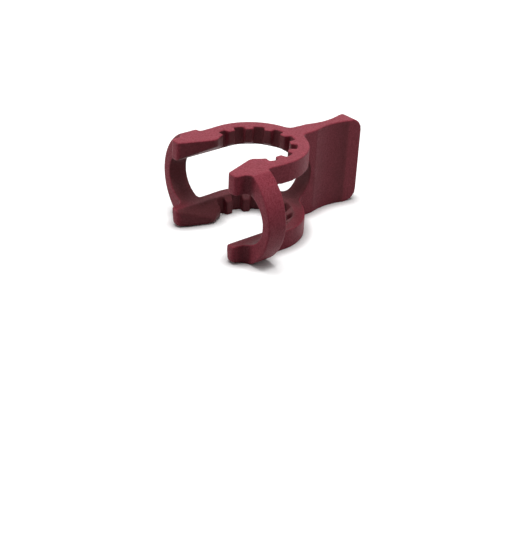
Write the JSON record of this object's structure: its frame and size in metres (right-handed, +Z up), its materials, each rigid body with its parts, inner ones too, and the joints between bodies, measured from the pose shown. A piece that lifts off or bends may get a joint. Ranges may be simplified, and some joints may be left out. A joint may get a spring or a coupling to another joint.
{
  "type": "ground glass joint clip",
  "caption": "Moulded plastic clip with paired notched snap rings, side arches and a finger tab, for holding a ground glass joint together.",
  "frame": {"origin": "on the axis of the rings, in the flat bottom face of the lower ring", "axes": "+Z up along the axis of the rings and of the glass joint, -Y out of the mouth between the jaws, +Y along the finger tab, X across the side arches"},
  "size_m": [0.0582, 0.0674, 0.032],
  "materials": {
    "clip": "semi-matt moulded plastic, maroon right through, with a very fine moulded grain"
  },
  "bodies": {
    "root": {"clip": "clip"}
  },
  "joints": []
}
